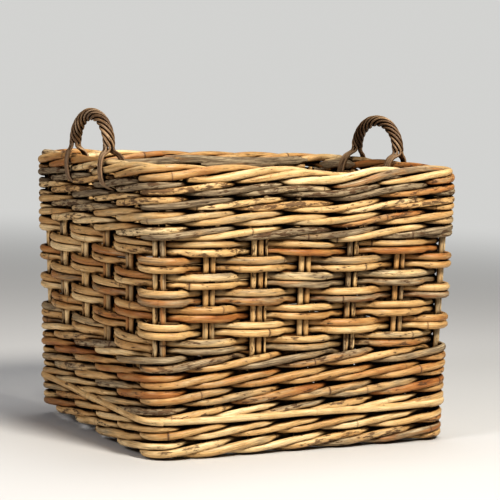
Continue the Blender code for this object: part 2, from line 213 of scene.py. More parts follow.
class Canes:
    """Gathers swept canes that will make one piece."""

    def __init__(self, sag=True):
        self.sag = sag
        self.points, self.normals, self.opens, self.faces = [], [], [], []
        self.traits, self.fibres, self.cores = [], [], []
        self.count = 0

    def add(self, path, radius, tone, weather, sides=SIDES, step=STEP, nodes=True, tips=(1, 1),
            bend=2, flat=1.0, across_hint=(0.13, 0.31, 0.94), axis=None):
        """Adds one cane.

        path: points on its middle line; tone and weather: its place in the palette and how grey
        it has gone, both 0 to 1; nodes: whether it has node rings; tips: end radii as shares of
        the cane's radius; bend: how often its line is softened; flat: its thickness as a share
        of its width; across_hint: about where its width points; axis: points on the middle line
        of a rope that it's a strand of, and the strand's side that faces that line gets painted shade.
        """
        if self.sag:
            path = settle(path)
        path, along = resample(soften(lean(path), bend), step)
        count = len(path)
        tangent = np.gradient(path, axis=0)
        tangent /= np.linalg.norm(tangent, axis=1)[:, None]
        # Carry a side vector along the cane without twist.
        vector = np.array(across_hint, float)
        across = np.empty_like(path)
        for k in range(count):
            vector = vector - tangent[k] * np.dot(vector, tangent[k])
            vector /= np.linalg.norm(vector)
            across[k] = vector
        up = np.cross(tangent, across)

        swell = radius * (1 + wander(along, 0.035, 0.03) + wander(along, 0.25, 0.05))
        node = np.zeros(count)
        if nodes:
            place = rng.uniform(0.01, NODE_SPACING[1])
            while place < along[-1]:
                k = int(round(place / (along[1] - along[0])))
                if 1 < k < count - 2:
                    strength = rng.uniform(0.25, 1.0)
                    node[k] = strength
                    swell[k] *= 1 + NODE_SWELL * strength
                    swell[k - 1] *= 1.02
                    swell[k + 1] *= 1.03
                place += rng.uniform(*NODE_SPACING)
        reach = np.minimum(along, TAPER) / TAPER
        swell *= tips[0] + (1 - tips[0]) * ease(reach)
        reach = np.minimum(along[-1] - along, TAPER) / TAPER
        swell *= tips[1] + (1 - tips[1]) * ease(reach)
        self.cores.append((path, np.full(count, pi * radius ** 2 * flat * (along[1] - along[0]))))
        # A small bevel at each cut end.
        inset = BEVEL_REACH * radius
        path = np.vstack([path[0] - tangent[0] * inset, path, path[-1] + tangent[-1] * inset])
        across = np.vstack([across[:1], across, across[-1:]])
        up = np.vstack([up[:1], up, up[-1:]])
        swell = np.concatenate([[swell[0] * BEVEL_SHARE], swell, [swell[-1] * BEVEL_SHARE]])
        along = np.concatenate([[along[0] - inset], along, [along[-1] + inset]])
        node = np.concatenate([[0], node, [0]])
        count += 2

        seed = rng.uniform(0, 1)
        angles = 2 * pi * (np.arange(sides) / sides) + (seed * 6 if flat == 1.0 else 0)
        oval = 1 + 0.05 * np.cos(2 * angles + seed * 40)
        ring = across[:, None, :] * np.cos(angles)[None, :, None]
        ring = ring + up[:, None, :] * np.sin(angles)[None, :, None] * flat
        verts = path[:, None, :] + ring * (swell[:, None] * oval[None, :])[..., None]
        self.points.append(verts.reshape(-1, 3))
        normal = ring / np.linalg.norm(ring, axis=2)[..., None]
        self.normals.append(normal.reshape(-1, 3))
        painted_groove_light = np.ones((count, sides))
        # Painted shade in the rope's grooves: a strand is darker on the side that faces the rope's
        # middle.
        if axis is not None:
            middle = lean(axis)
            nearest = np.linalg.norm(path[:, None] - middle[None], axis=2).argmin(axis=1)
            out = path - middle[nearest]
            out /= np.maximum(np.linalg.norm(out, axis=1), 1e-6)[:, None]
            painted_groove_light = ease((np.einsum("ijk,ik->ij", normal, out) - 0.05) / 0.85)
        self.opens.append(painted_groove_light.ravel())

        trait = np.empty((count, sides, 4))
        trait[..., 0] = tone
        trait[..., 1] = weather
        trait[..., 2] = seed
        trait[..., 3] = node[:, None]
        self.traits.append(trait.reshape(-1, 4))
        fibre = np.empty((count, sides, 3))
        fibre[..., 0] = np.cos(angles)[None, :]
        fibre[..., 1] = np.sin(angles)[None, :]
        fibre[..., 2] = along[:, None]
        self.fibres.append(fibre.reshape(-1, 3))

        base = self.count
        rows = np.arange(count - 1)[:, None] * sides
        here = np.arange(sides)[None, :]
        there = (here + 1) % sides
        quads = np.stack([rows + here, rows + there, rows + sides + there, rows + sides + here], -1)
        self.faces += (quads.reshape(-1, 4) + base).tolist()
        self.faces.append([base + k for k in reversed(range(sides))])
        last = base + (count - 1) * sides
        self.faces.append([last + k for k in range(sides)])
        self.count += count * sides

    def make(self, name, material, crowding):
        """Makes the piece. crowding tells how much cane there is round a place."""
        points = np.concatenate(self.points)
        normals = np.concatenate(self.normals)
        mesh = bpy.data.meshes.new(name)
        mesh.from_pydata(points.tolist(), [], self.faces)
        mesh.polygons.foreach_set("use_smooth", np.ones(len(mesh.polygons), bool))
        trait = mesh.attributes.new("cane", "FLOAT_COLOR", "POINT")
        trait.data.foreach_set("color", np.concatenate(self.traits).astype(np.float32).ravel())
        fibre = mesh.attributes.new("fibre", "FLOAT_VECTOR", "POINT")
        fibre.data.foreach_set("vector", np.concatenate(self.fibres).astype(np.float32).ravel())
        # Painted shade: the colour is darkened where cane crowds round, on a rope strand's inner side
        # and down inside the basket; the share of light left is stored on the mesh.
        crowd = crowding(points + normals * LOOK_OUT)
        closed = ease((crowd - CROWD_FREE) / (CROWD_SHUT - CROWD_FREE))
        light = (1 - closed) * np.concatenate(self.opens) * (1 - painted_inner_shade(points))
        painted_light = mesh.attributes.new("painted_light", "FLOAT", "POINT")
        painted_light.data.foreach_set("value", light.astype(np.float32))
        mesh.materials.append(material)
        mesh.set_sharp_from_angle(angle=radians(50))
        piece = bpy.data.objects.new(name, mesh)
        bpy.context.scene.collection.objects.link(piece)
        return piece


GLOOM = 0.6  # share of the light taken off by painted shade well inside and well down
GLOOM_TOP = 0.02  # how far under the rim it starts, and how much further down it is full
GLOOM_FALL = 0.12


def painted_inner_shade(points):
    """Painted shade: share of light taken off the colour down inside the basket."""
    from_side = HALF_LENGTH - np.abs(points[:, 0] + LEAN * points[:, 2])
    from_front = HALF_WIDTH - np.abs(points[:, 1])
    inset = np.minimum(from_side, from_front) + WALL_FLARE * points[:, 2]
    return GLOOM * ease(inset / 0.012) * ease((RIM_TOP - GLOOM_TOP - points[:, 2]) / GLOOM_FALL)


# Painted shade: how much cane crowds round a surface sets how dark its colour is painted.
LOOK_OUT = 7 * MM  # how far off the surface the crowding is looked up
CROWD_FREE = 0.14  # share of cane there at which the surface is fully in the light
CROWD_SHUT = 0.52  # and fully in the dark
CELL = 3 * MM  # of the grid in which the cane is counted
GRID_MARGIN = 0.03
BLUR_CELLS = 4  # how far the count is blurred, and the blur's standard deviation
BLUR_WIDTH = 2.0


def crowding_of(batches):
    """A function that gives the share of cane round any points, from all canes of the batches."""
    places = np.concatenate([core[0] for canes in batches for core in canes.cores])
    amounts = np.concatenate([core[1] for canes in batches for core in canes.cores])
    low = places.min(0) - GRID_MARGIN
    shape = np.ceil((places.max(0) + GRID_MARGIN - low) / CELL).astype(int)
    grid = np.zeros(shape, np.float32)
    cells = ((places - low) / CELL).astype(int)
    np.add.at(grid, tuple(cells.T), (amounts / CELL ** 3).astype(np.float32))
    shifts = np.arange(-BLUR_CELLS, BLUR_CELLS + 1)
    taps = np.exp(-0.5 * (shifts / BLUR_WIDTH) ** 2)
    taps /= taps.sum()
    for axis in range(3):
        spread = np.zeros_like(grid)
        for shift, share in zip(shifts.tolist(), taps):
            spread += np.float32(share) * np.roll(grid, shift, axis)
        grid = spread

    def crowding(points):
        place = (points - low) / CELL - 0.5
        cell = np.clip(np.floor(place).astype(int), 0, shape - 2)
        part = np.clip(place - cell, 0, 1)
        total = np.zeros(len(points))
        for corner in np.ndindex(2, 2, 2):
            share = np.prod(np.where(corner, part, 1 - part), axis=1)
            total += share * grid[tuple((cell + corner).T)]
        return total

    return crowding


# ---------------------------------------------------------------- cane material


class Graph:
    """Short calls for building a material's nodes."""

    def __init__(self, name):
        self.material = bpy.data.materials.new(name)
        self.material.use_nodes = True
        self.nodes = self.material.node_tree.nodes
        self.links = self.material.node_tree.links
        self.shader = self.nodes["Principled BSDF"]

    def node(self, kind, **settings):
        made = self.nodes.new(kind)
        for key, value in settings.items():
            setattr(made, key, value)
        return made

    def feed(self, socket, value):
        if isinstance(value, bpy.types.NodeSocket):
            self.links.new(value, socket)
        else:
            socket.default_value = value

    def math(self, operation, a, b=0.0, c=0.0, clamp=False):
        made = self.node("ShaderNodeMath", operation=operation, use_clamp=clamp)
        for socket, value in zip(made.inputs, (a, b, c)):
            self.feed(socket, value)
        return made.outputs[0]

    def combine(self, x, y, z):
        made = self.node("ShaderNodeCombineXYZ")
        for socket, value in zip(made.inputs, (x, y, z)):
            self.feed(socket, value)
        return made.outputs[0]

    def band(self, value, low, high, to_low=0.0, to_high=1.0):
        """Maps low..high smoothly to to_low..to_high, held outside."""
        made = self.node("ShaderNodeMapRange", interpolation_type="SMOOTHSTEP")
        for socket, given in zip(made.inputs, (value, low, high, to_low, to_high)):
            self.feed(socket, given)
        return made.outputs[0]

    def ramp(self, value, stops):
        made = self.node("ShaderNodeValToRGB")
        elements = made.color_ramp.elements
        while len(elements) < len(stops):
            elements.new(0.5)
        for element, (place, colour) in zip(elements, stops):
            element.position = place
            element.color = (*colour, 1)
        self.feed(made.inputs[0], value)
        return made.outputs[0]

    def mix(self, share, a, b, blend="MIX"):
        made = self.node("ShaderNodeMix", data_type="RGBA", blend_type=blend)
        self.feed(made.inputs[0], share)
        self.feed(made.inputs[6], (*a, 1) if isinstance(a, tuple) else a)
        self.feed(made.inputs[7], (*b, 1) if isinstance(b, tuple) else b)
        return made.outputs[2]


def cane_material(name, palette, worn, bark, gloss):
    """Round cane: fibre streaks, blotches, node rings, specks, splits and flakes of bark, with painted
    shade where other canes crowd round.

    palette: colours from pale to dark; worn: colours of weathered cane; bark: how much of the
    brown outer bark still clings on; gloss: roughness of clean cane.
    """
    g = Graph(name)
    trait = g.node("ShaderNodeAttribute", attribute_name="cane")
    parts = g.node("ShaderNodeSeparateColor")
    g.feed(parts.inputs[0], trait.outputs["Color"])
    tone, weather, seed = parts.outputs
    node_ring = trait.outputs["Alpha"]
    fibre = g.node("ShaderNodeAttribute", attribute_name="fibre")
    around = g.node("ShaderNodeSeparateXYZ")
    g.feed(around.inputs[0], fibre.outputs["Vector"])
    side, front, along = around.outputs
    painted_light = g.node("ShaderNodeAttribute", attribute_name="painted_light").outputs["Fac"]

    def noise(round_scale, along_scale, shift, detail=2.0, rough=0.55):
        """Noise on the skin of the cane; a higher scale means smaller features."""
        moved = g.math("MULTIPLY_ADD", seed, 53.0 + shift, shift)
        x = g.math("MULTIPLY_ADD", side, round_scale, moved)
        y = g.math("MULTIPLY_ADD", front, round_scale, moved)
        z = g.math("MULTIPLY_ADD", along, along_scale, g.math("MULTIPLY", moved, 1.7))
        made = g.node("ShaderNodeTexNoise", noise_dimensions="3D")
        g.feed(made.inputs["Vector"], g.combine(x, y, z))
        made.inputs["Scale"].default_value = 1.0
        made.inputs["Detail"].default_value = detail
        made.inputs["Roughness"].default_value = rough
        return made.outputs[0]

    blotch = noise(0.45, 17.0, 3.1, 3.0)
    streak = noise(1.7, 9.0, 11.7, 4.0, 0.65)
    fine = noise(6.0, 42.0, 23.9, 3.0, 0.7)
    speck = noise(2.6, 330.0, 31.3, 2.0, 0.6)
    split = noise(4.2, 16.0, 43.7, 3.0, 0.5)
    flake = noise(1.0, 52.0, 59.1, 5.0, 0.68)

    # Colour of clean cane, darker in blotches and along its streaks.
    level = g.math("MULTIPLY_ADD", g.math("SUBTRACT", blotch, 0.5), 0.75, tone)
    level = g.math("MULTIPLY_ADD", g.math("SUBTRACT", streak, 0.5), 0.42, level)
    clean = g.ramp(level, palette)
    # Weathered grey-brown, in streaks and patches that grow with the cane's own share.
    patch = g.math("MULTIPLY_ADD", g.math("SUBTRACT", blotch, 0.5), -1.1, weather)
    patch = g.math("MULTIPLY_ADD", g.math("SUBTRACT", streak, 0.5), 0.9, patch)
    grey_share = g.band(patch, 0.28, 0.78)
    grey_level = g.math("MULTIPLY_ADD", g.math("SUBTRACT", fine, 0.5), 0.8, streak)
    colour = g.mix(grey_share, clean, g.ramp(grey_level, worn))
    # Thin brown bark that has flaked off in places.
    bark_place = g.math("MULTIPLY_ADD", g.math("SUBTRACT", seed, 0.5), 0.22, flake)
    bark_share = g.band(bark_place, 0.66 - 0.12 * bark, 0.70 - 0.12 * bark)
    bark_colour = g.ramp(fine, [(0.3, (0.050, 0.024, 0.012)), (0.7, (0.17, 0.088, 0.040))])
    colour = g.mix(g.math("MULTIPLY", bark_share, 0.8), colour, bark_colour)
    # Fine fibre lines, splits, specks and node rings.
    lines = g.band(fine, 0.36, 0.66, 0.74, 1.10)
    colour = g.mix(1.0, colour, g.combine(lines, lines, lines), "MULTIPLY")
    crack = g.math("ABSOLUTE", g.math("SUBTRACT", split, 0.5))
    crack_share = g.band(crack, 0.0, 0.016, 1.0, 0.0)
    crack_share = g.math("MULTIPLY", crack_share, g.band(flake, 0.47, 0.60))
    colour = g.mix(g.math("MULTIPLY", crack_share, 0.75), colour, (0.045, 0.022, 0.010))
    dots = g.math("MULTIPLY", g.band(speck, 0.66, 0.73), g.band(blotch, 0.42, 0.58))
    colour = g.mix(g.math("MULTIPLY", dots, 0.85), colour, (0.030, 0.016, 0.009))
    ring = g.band(node_ring, 0.55, 0.92)
    ring_soft = g.band(node_ring, 0.0, 1.0)
    colour = g.mix(g.math("MULTIPLY", ring_soft, 0.30), colour, (0.16, 0.075, 0.030))
    colour = g.mix(g.math("MULTIPLY", ring, 0.72), colour, (0.050, 0.022, 0.010))
    # Painted shade: darker and warmer where canes crowd, in rope grooves and down inside the basket.
    painted_shade_level = g.band(painted_light, 0.0, 1.0, 0.05, 1.0)
    warm_painted_shade = g.combine(painted_shade_level, g.math("POWER", painted_shade_level, 1.12), g.math("POWER", painted_shade_level, 1.25))
    colour = g.mix(1.0, colour, warm_painted_shade, "MULTIPLY")
    g.feed(g.shader.inputs["Base Color"], colour)

    rough = g.math("MULTIPLY_ADD", grey_share, 0.25, gloss)
    rough = g.math("MULTIPLY_ADD", g.math("SUBTRACT", fine, 0.5), 0.35, rough)
    rough = g.math("MULTIPLY_ADD", bark_share, 0.15, rough, clamp=True)
    g.feed(g.shader.inputs["Roughness"], rough)
    g.feed(g.shader.inputs["Specular IOR Level"], g.band(painted_light, 0.2, 1.0, 0.03, 0.42))

    height = g.math("MULTIPLY_ADD", fine, 0.5, g.math("MULTIPLY", crack_share, -0.9))
    height = g.math("MULTIPLY_ADD", bark_share, 0.55, height)
    height = g.math("MULTIPLY_ADD", ring, 0.6, height)
    height = g.math("MULTIPLY_ADD", dots, -0.4, height)
    bump = g.node("ShaderNodeBump")
    bump.inputs["Strength"].default_value = 0.7
    bump.inputs["Distance"].default_value = 0.0009
    g.feed(bump.inputs["Height"], height)
    g.feed(g.shader.inputs["Normal"], bump.outputs[0])
    return g.material


# Palettes: place in the ramp and linear colour, from pale to dark, or dark to pale where worn.
HONEY = [(0.04, (0.81, 0.62, 0.36)), (0.28, (0.64, 0.430, 0.205)), (0.50, (0.47, 0.270, 0.108)),
         (0.66, (0.42, 0.190, 0.062)), (0.84, (0.25, 0.098, 0.032)), (0.98, (0.11, 0.045, 0.018))]
WORN = [(0.22, (0.075, 0.053, 0.036)), (0.48, (0.245, 0.182, 0.112)), (0.74, (0.50, 0.400, 0.260))]
DARK = [(0.10, (0.43, 0.295, 0.175)), (0.45, (0.225, 0.138, 0.073)), (0.85, (0.080, 0.044, 0.024))]
DARK_WORN = [(0.25, (0.070, 0.044, 0.030)), (0.70, (0.46, 0.345, 0.235))]

honey_cane = cane_material("honey_cane_look", HONEY, WORN, 0.25, 0.42)
weathered_cane = cane_material("weathered_cane_look", HONEY, WORN, 0.75, 0.52)
pale_cane = cane_material("pale_cane_look", HONEY, WORN, 0.35, 0.55)
dark_cane = cane_material("dark_cane_look", DARK, DARK_WORN, 0.1, 0.40)

# ---------------------------------------------------------------- weaving the walls

plans = []  # (canes, name, material, slot, nodes) of each piece, in order


def plan(canes, name, material, slot, *nodes):
    """Notes one piece: its canes, its looks, and the CAD nodes that it stands for."""
    plans.append((canes, name, material, slot, nodes))


SAMPLES_PER_GAP = 16
TAIL = 0.18  # how far past its last stake a cane's hidden end goes, in gaps
TUCK_START = 0.1  # how far before that stake it starts to go under, in gaps
TUCK_DEPTH = 1.2  # how far under its neighbours it goes, over its radius


def lacing(total, strand, path_of, radius, tones, canes, tips=(0.75, 0.75)):
    """Cuts a closed run of strands into canes of a few strands, and sweeps each of them.

    A strand is the way from where a cane comes out of the weave to where it does so again, and
    strand is its length in gaps. path_of gives the line at places t, where tuck says how far
    the cane's start (below 0) or end (above 0) has gone under its neighbours.
    """
    place = int(rng.integers(0, total))
    done = 0
    while done < total:
        strands = min(int(rng.integers(2, 6)), total - done)
        if total - done - strands == 1:
            strands += 1
        start, stop = (place + done) * strand, (place + done + strands) * strand
        count = int((stop - start + 2 * TAIL) * SAMPLES_PER_GAP) + 1
        t = np.linspace(start - TAIL, stop + TAIL, count)
        tail = np.maximum(start + TUCK_START - t, t - stop + TUCK_START)
        tuck = ease(tail / (TAIL + TUCK_START))
        path = path_of(t, tuck * np.where(t < (start + stop) / 2, -1, 1))
        tone, weather = tones()
        canes.add(path, radius * rng.uniform(0.88, 1.06), tone, weather, tips=tips)
        done += strands


def wale_round(canes, middle, pitch, radius, tones):
    """One level round of three-rod wale: out past two stake pairs, in behind the third."""
    reach = STAKE_RADIUS + radius
    phase = int(rng.integers(0, 3))
    lift = rng.normal(0, 0.07 * pitch, STAKE_COUNT * 3 + 1)
    out = rng.uniform(0, 0.9 * MM, STAKE_COUNT * 3 + 1)

    def path_of(t, tuck):
        p = np.mod(t, 3)  # behind the stakes at 0, out in front of them at 1 and 2
        depth = np.where(p < 1.5, -1 + 2 * ease((p - 0.20) / 0.72), 1 - 2 * ease((p - 2.08) / 0.72))
        depth = depth + 0.07 * np.sin(pi * np.clip(p - 1, 0, 1))
        climb = np.interp(p, [0, 0.35, 1, 2, 2.65, 3], [0, -0.68, -0.47, 0.47, 0.68, 0])
        strand = np.mod((t // 3).astype(int), STAKE_COUNT)
        height = middle + pitch * climb + lift[strand] * np.sin(pi * np.clip((p - 0.3) / 2.4, 0, 1))
        height = height + wander(t * GAP, 0.06, 0.5 * MM)
        depth = depth * reach + out[strand] * np.sin(pi * np.clip((p - 0.5) / 2, 0, 1))
        depth = depth - np.abs(tuck) * TUCK_DEPTH * radius
        height = height + tuck * 0.5 * radius
        return wall_points(t + phase, depth, height)

    lacing(STAKE_COUNT, 3, path_of, radius, tones, canes)


SIDE_BULGE = 0.6  # power that holds a cane out in front of a pair before it dives behind


def side_row(canes, row, low, pitch, radius, tones):
    """A doubled cane of plain weave, in front of one stake pair and behind the next."""
    reach = STAKE_RADIUS + radius
    for which in range(2):
        middle = low + pitch * (which + 0.5)
        lift = rng.normal(0, 0.03 * pitch, STAKE_COUNT)
        twist = rng.normal(0, 0.04 * pitch, STAKE_COUNT)

        def path_of(t, tuck):
            wave = np.cos(pi * t)
            depth = np.sign(wave) * np.abs(wave) ** SIDE_BULGE
            depth = -depth * reach * np.where(depth < 0, 1.06, 1.0)
            strand = np.mod(((t + 1) // 2).astype(int), STAKE_COUNT)
            hump = np.maximum(-wave, 0)
            height = middle + lift[strand] * hump + twist[strand] * np.sin(pi * t) * hump
            height = height + (0.5 - which) * 0.3 * MM * (1 - hump)
            height = height + wander(t * GAP, 0.07, 0.5 * MM)
            depth = depth - np.abs(tuck) * TUCK_DEPTH * radius
            return wall_points(t + row % 2, depth, height + tuck * 0.4 * radius)

        lacing(STAKE_COUNT // 2, 2, path_of, radius, tones, canes)


def honey_tones():
    """Tone and weathering of a cane of the lower and middle walls."""
    tone = float(np.clip(rng.normal(0.27, 0.15), 0.02, 0.85))
    if rng.uniform() < 0.16:
        tone = float(rng.uniform(0.5, 0.72))
    return tone, float(np.clip(rng.normal(0.28, 0.2), 0, 0.9))


def grey_tones():
    """Tone and weathering of a cane of the upper band."""
    tone = float(np.clip(rng.normal(0.27, 0.14), 0.02, 0.8))
    return tone, float(np.clip(rng.normal(0.47, 0.30), 0.05, 1.0))


def pale_tones():
    """Tone and weathering of a stake or a floor cane."""
    return float(np.clip(rng.normal(0.30, 0.12), 0.05, 0.7)), float(rng.uniform(0.15, 0.6))


def weave_walls():
    """The bands of the wall, a piece for each row of the CAD model."""
    lower_pitch = (SIDE_BOTTOM - LOWER_START) / (2 * LOWER_ROUNDS)
    for k in range(LOWER_ROUNDS):
        canes = Canes()
        middle = LOWER_START + lower_pitch * (2 * k + 1)
        wale_round(canes, middle, lower_pitch, LOWER_RADIUS, honey_tones)
        if k == 1:
            add_long_rods(canes, middle + 1.4 * lower_pitch)
        plan(canes, f"lower_wale_{k + 1}", honey_cane, "honey_cane", f"lower_wale_row_{k + 1}")
    side_pitch = (UPPER_BOTTOM - SIDE_BOTTOM) / (2 * SIDE_ROWS)
    for k in range(SIDE_ROWS):
        canes = Canes()
        low = SIDE_BOTTOM + side_pitch * 2 * k
        side_row(canes, k, low, side_pitch, SIDE_RADIUS, honey_tones)
        plan(canes, f"side_weave_{k + 1}", honey_cane, "honey_cane", f"side_weaver_row_{k + 1}")
    upper_pitch = (BORDER_BOTTOM - UPPER_BOTTOM) / (2 * UPPER_ROUNDS)
    for k in range(UPPER_ROUNDS):
        canes = Canes()
        middle = UPPER_BOTTOM + upper_pitch * (2 * k + 1)
        wale_round(canes, middle, upper_pitch, UPPER_RADIUS, grey_tones)
        plan(canes, f"upper_wale_{k + 1}", weathered_cane, "weathered_cane", f"upper_wale_row_{k + 1}")


LONG_RODS = [  # start and end in gaps, tone, and whether each end stays outside to show its cut
    (-5.3, -2.2, 0.34, (0, 1)), (-2.35, 0.10, 0.24, (1, 1)), (0.06, 6.4, 0.16, (1, 0))]
ROD_DEPTH = STAKE_RADIUS + LOWER_RADIUS + 3.6 * MM  # out in front of the wale
ROD_TUCK = 9.0 * MM  # how far a hidden end goes back in, and over how many gaps
ROD_TUCK_GAPS = 0.5


def add_long_rods(canes, height):
    """Smooth canes that run past every stake of the left side and the front."""
    for start, stop, tone, shown in LONG_RODS:
        index = np.linspace(start, stop, int((stop - start) * 40))
        hidden = (1 - shown[0]) * ease(1 - (index - start) / ROD_TUCK_GAPS)
        hidden = hidden + (1 - shown[1]) * ease(1 - (stop - index) / ROD_TUCK_GAPS)
        depth = ROD_DEPTH - ROD_TUCK * hidden
        rise = wander(index * GAP, 0.12, 1.2 * MM) + 0.5 * MM * index
        path = wall_points(index, depth, height + rise)
        tips = tuple(1.0 if end else 0.8 for end in shown)
        canes.add(path, LOWER_RADIUS * 0.97, tone, 0.2, tips=tips)


# ---------------------------------------------------------------- stakes and floor

PAIR_HALF = STAKE_RADIUS + 0.6 * MM  # from a pair's middle to each cane's middle
SOLE_HEIGHT = STAKE_RADIUS + 2.2 * MM  # of a stake's middle where it turns under the wall
CORNER_FOOT = 2.5 * MM  # where a corner stake ends
STAKE_STEP = 5.5 * MM  # between the sections of a stake
LEG_POINTS = 40  # on the line of a stake up one wall
SOLE_RUN = 0.012  # how far in from the wall the floor part of a stake starts
RISE_START = 0.016  # where it starts to rise to the floor weave, and over what distance
RISE_RUN = 0.02
SPLIT_PAIR = 2  # the pair of the front that has a thin third cane beside it


def stake_leg(index, shift, low, high):
    """A line up the wall for one cane of a pair, shift being its place along the wall."""
    height = np.linspace(low, high, LEG_POINTS)
    point, normal = wall_frames(np.full(LEG_POINTS, float(index)), height)
    sideways = np.stack([-normal[:, 1], normal[:, 0], np.zeros(LEG_POINTS)], -1)
    drift = shift + wander(height, 0.09, 0.6 * MM)
    return point + sideways * drift[:, None]


def long_pair_places():
    """Y of each stake pair that runs along X."""
    indices = np.arange(LONG_GAPS + 1, LONG_GAPS + SHORT_GAPS)
    return wall_frames(indices.astype(float), SOLE_HEIGHT)[0][:, 1]


def cross_pair_places():
    """X of each stake pair that runs along Y."""
    return wall_frames(np.arange(1, LONG_GAPS).astype(float), SOLE_HEIGHT)[0][:, 0]


FLOOR_MIDDLE = (FLOOR_LOW + FLOOR_HIGH) / 2
FLOOR_PITCH = 8.9 * MM


def floor_wave(x, parity):
    """Height of a cane along X over and under the cross pairs."""
    places = cross_pair_places()
    gap = places[1] - places[0]
    swing = STAKE_RADIUS + FLOOR_RADIUS - 0.3 * MM
    phase = (x - places[0]) / gap + parity
    wave = np.cos(pi * phase)
    return FLOOR_MIDDLE + swing * np.sign(wave) * np.abs(wave) ** 0.7


def floor_rise(place, low, high):
    """0 at the walls, at low and high, and 1 where a stake runs in the floor weave."""
    return (ease((place - low - RISE_START) / RISE_RUN)
            * ease((high - RISE_START - place) / RISE_RUN))


def make_stakes():
    """The pairs that run down one wall, under the floor and up the other, and the corners."""
    for number in range(1, LONG_GAPS):
        canes = Canes()
        back_index = LONG_GAPS + SHORT_GAPS + LONG_GAPS - number
        for sign in (-1, 1):
            front = stake_leg(number, sign * PAIR_HALF, SOLE_HEIGHT, STAKE_TOP)
            back = stake_leg(back_index, -sign * PAIR_HALF, SOLE_HEIGHT, STAKE_TOP)
            start, stop = front[0], back[0]
            y = np.linspace(start[1] + SOLE_RUN, stop[1] - SOLE_RUN, 60)
            rise = floor_rise(y, start[1], stop[1])
            x = np.interp(y, (start[1], stop[1]), (start[0], stop[0]))
            floor = np.stack([x, y, SOLE_HEIGHT + (FLOOR_MIDDLE - SOLE_HEIGHT) * rise], -1)
            path = np.concatenate([front[::-1], floor, back])
            canes.add(path, STAKE_RADIUS, *pale_tones(), step=STAKE_STEP)
        if number == SPLIT_PAIR:
            sliver = stake_leg(number, 3.3 * STAKE_RADIUS, SIDE_BOTTOM - 0.02, UPPER_BOTTOM + 0.02)
            canes.add(sliver, 0.6 * STAKE_RADIUS, 0.2, 0.2)
        nodes = [f"cross_stake_{number}_{hand}" for hand in ("left", "right")]
        plan(canes, f"cross_stakes_{number}", pale_cane, "pale_cane", *nodes)
    for number in range(1, SHORT_GAPS):
        canes = Canes()
        for sign, parity in ((-1, 0), (1, 1)):
            right = stake_leg(LONG_GAPS + number, sign * PAIR_HALF, SOLE_HEIGHT, STAKE_TOP)
            left = stake_leg(STAKE_COUNT - number, -sign * PAIR_HALF, SOLE_HEIGHT, STAKE_TOP)
            start, stop = left[0], right[0]
            x = np.linspace(start[0] + SOLE_RUN, stop[0] - SOLE_RUN, 160)
            rise = floor_rise(x, start[0], stop[0])
            z = SOLE_HEIGHT + (floor_wave(x, parity) - SOLE_HEIGHT) * rise
            y = np.interp(x, (start[0], stop[0]), (start[1], stop[1]))
            floor = np.stack([x, y, z], -1)
            path = np.concatenate([left[::-1], floor, right])
            canes.add(path, STAKE_RADIUS, *pale_tones(), step=STAKE_STEP)
        nodes = [f"long_stake_{number}_{hand}" for hand in ("front", "back")]
        plan(canes, f"long_stakes_{number}", pale_cane, "pale_cane", *nodes)
    corners = (0, LONG_GAPS, LONG_GAPS + SHORT_GAPS, 2 * LONG_GAPS + SHORT_GAPS)
    for corner, place in zip(corners, ("front_left", "front_right", "back_right", "back_left")):
        canes = Canes()
        for sign in (-1, 1):
            path = stake_leg(corner, sign * PAIR_HALF, CORNER_FOOT, STAKE_TOP)
            canes.add(path, STAKE_RADIUS, *pale_tones(), step=STAKE_STEP)
        nodes = [f"corner_stake_{place}_{letter}" for letter in "ab"]
        plan(canes, f"corner_stakes_{place}", pale_cane, "pale_cane", *nodes)


FLOOR_INSET = 0.022  # from the wall's middle to the outermost line of the floor weave
BESIDE_PAIR = 2 * PAIR_HALF + 3.5 * MM  # from a pair's middle to the next line of the weave


def make_floor():
    """Lines woven to and fro between the pairs that run along X."""
    edge = HALF_WIDTH - FLOOR_INSET
    bounds = [-edge, *long_pair_places(), edge]
    canes = Canes()
    line = 0
    for zone in range(len(bounds) - 1):
        low = bounds[zone] + (BESIDE_PAIR if zone else 0)
        high = bounds[zone + 1] - (BESIDE_PAIR if zone < len(bounds) - 2 else 0)
        passes = max(2, int(round((high - low) / FLOOR_PITCH)) + 1)
        for y in np.linspace(low, high, passes):
            reach = FLOOR_HALF_RUN + rng.uniform(6, 11) * MM
            x = np.linspace(-reach, reach, 150)
            drift = wander(x, 0.08, 0.6 * MM)
            path = np.stack([x, y + drift, floor_wave(x, line)], -1)
            canes.add(path, FLOOR_RADIUS, *pale_tones(), sides=8, step=6 * MM, tips=(0.8, 0.8))
            line += 1
        line += 2
    nodes = [f"floor_weaver_{k + 1}" for k in range(5)]
    plan(canes, "floor_weave", weathered_cane, "weathered_cane", *nodes)


# ---------------------------------------------------------------- border


ORANGE_STRANDS = {3: 0.58, 5: 0.64, 6: 0.60, 12: 0.62, 17: 0.56}  # tones of the reddest canes
BLUNT_STRAND = 0  # its cut end shows on the outside
SHEATHS = [  # start and length in gaps, depth under the rim's top
    (11.2, 2.0, 14 * MM), (11.9, 1.8, 21 * MM), (12.8, 1.9, 15 * MM), (14.2, 1.7, 18 * MM),
    (9.2, 1.4, 15 * MM)]
SHEATH_HALF = 6.5 * MM  # half the width of a sheath strip
SHEATH_FLAT = 0.2  # its thickness over its width
BORDER_RISE = 9.4 * MM  # half the height of the roll, and half its thickness
BORDER_SPREAD = 8.6 * MM
ROLL_START = radians(-88)  # where a cane starts on the roll, and how far it turns per gap
ROLL_TURN = radians(84)
ROLL_GAPS = 3.35  # how far along the rim a cane goes while it rolls over


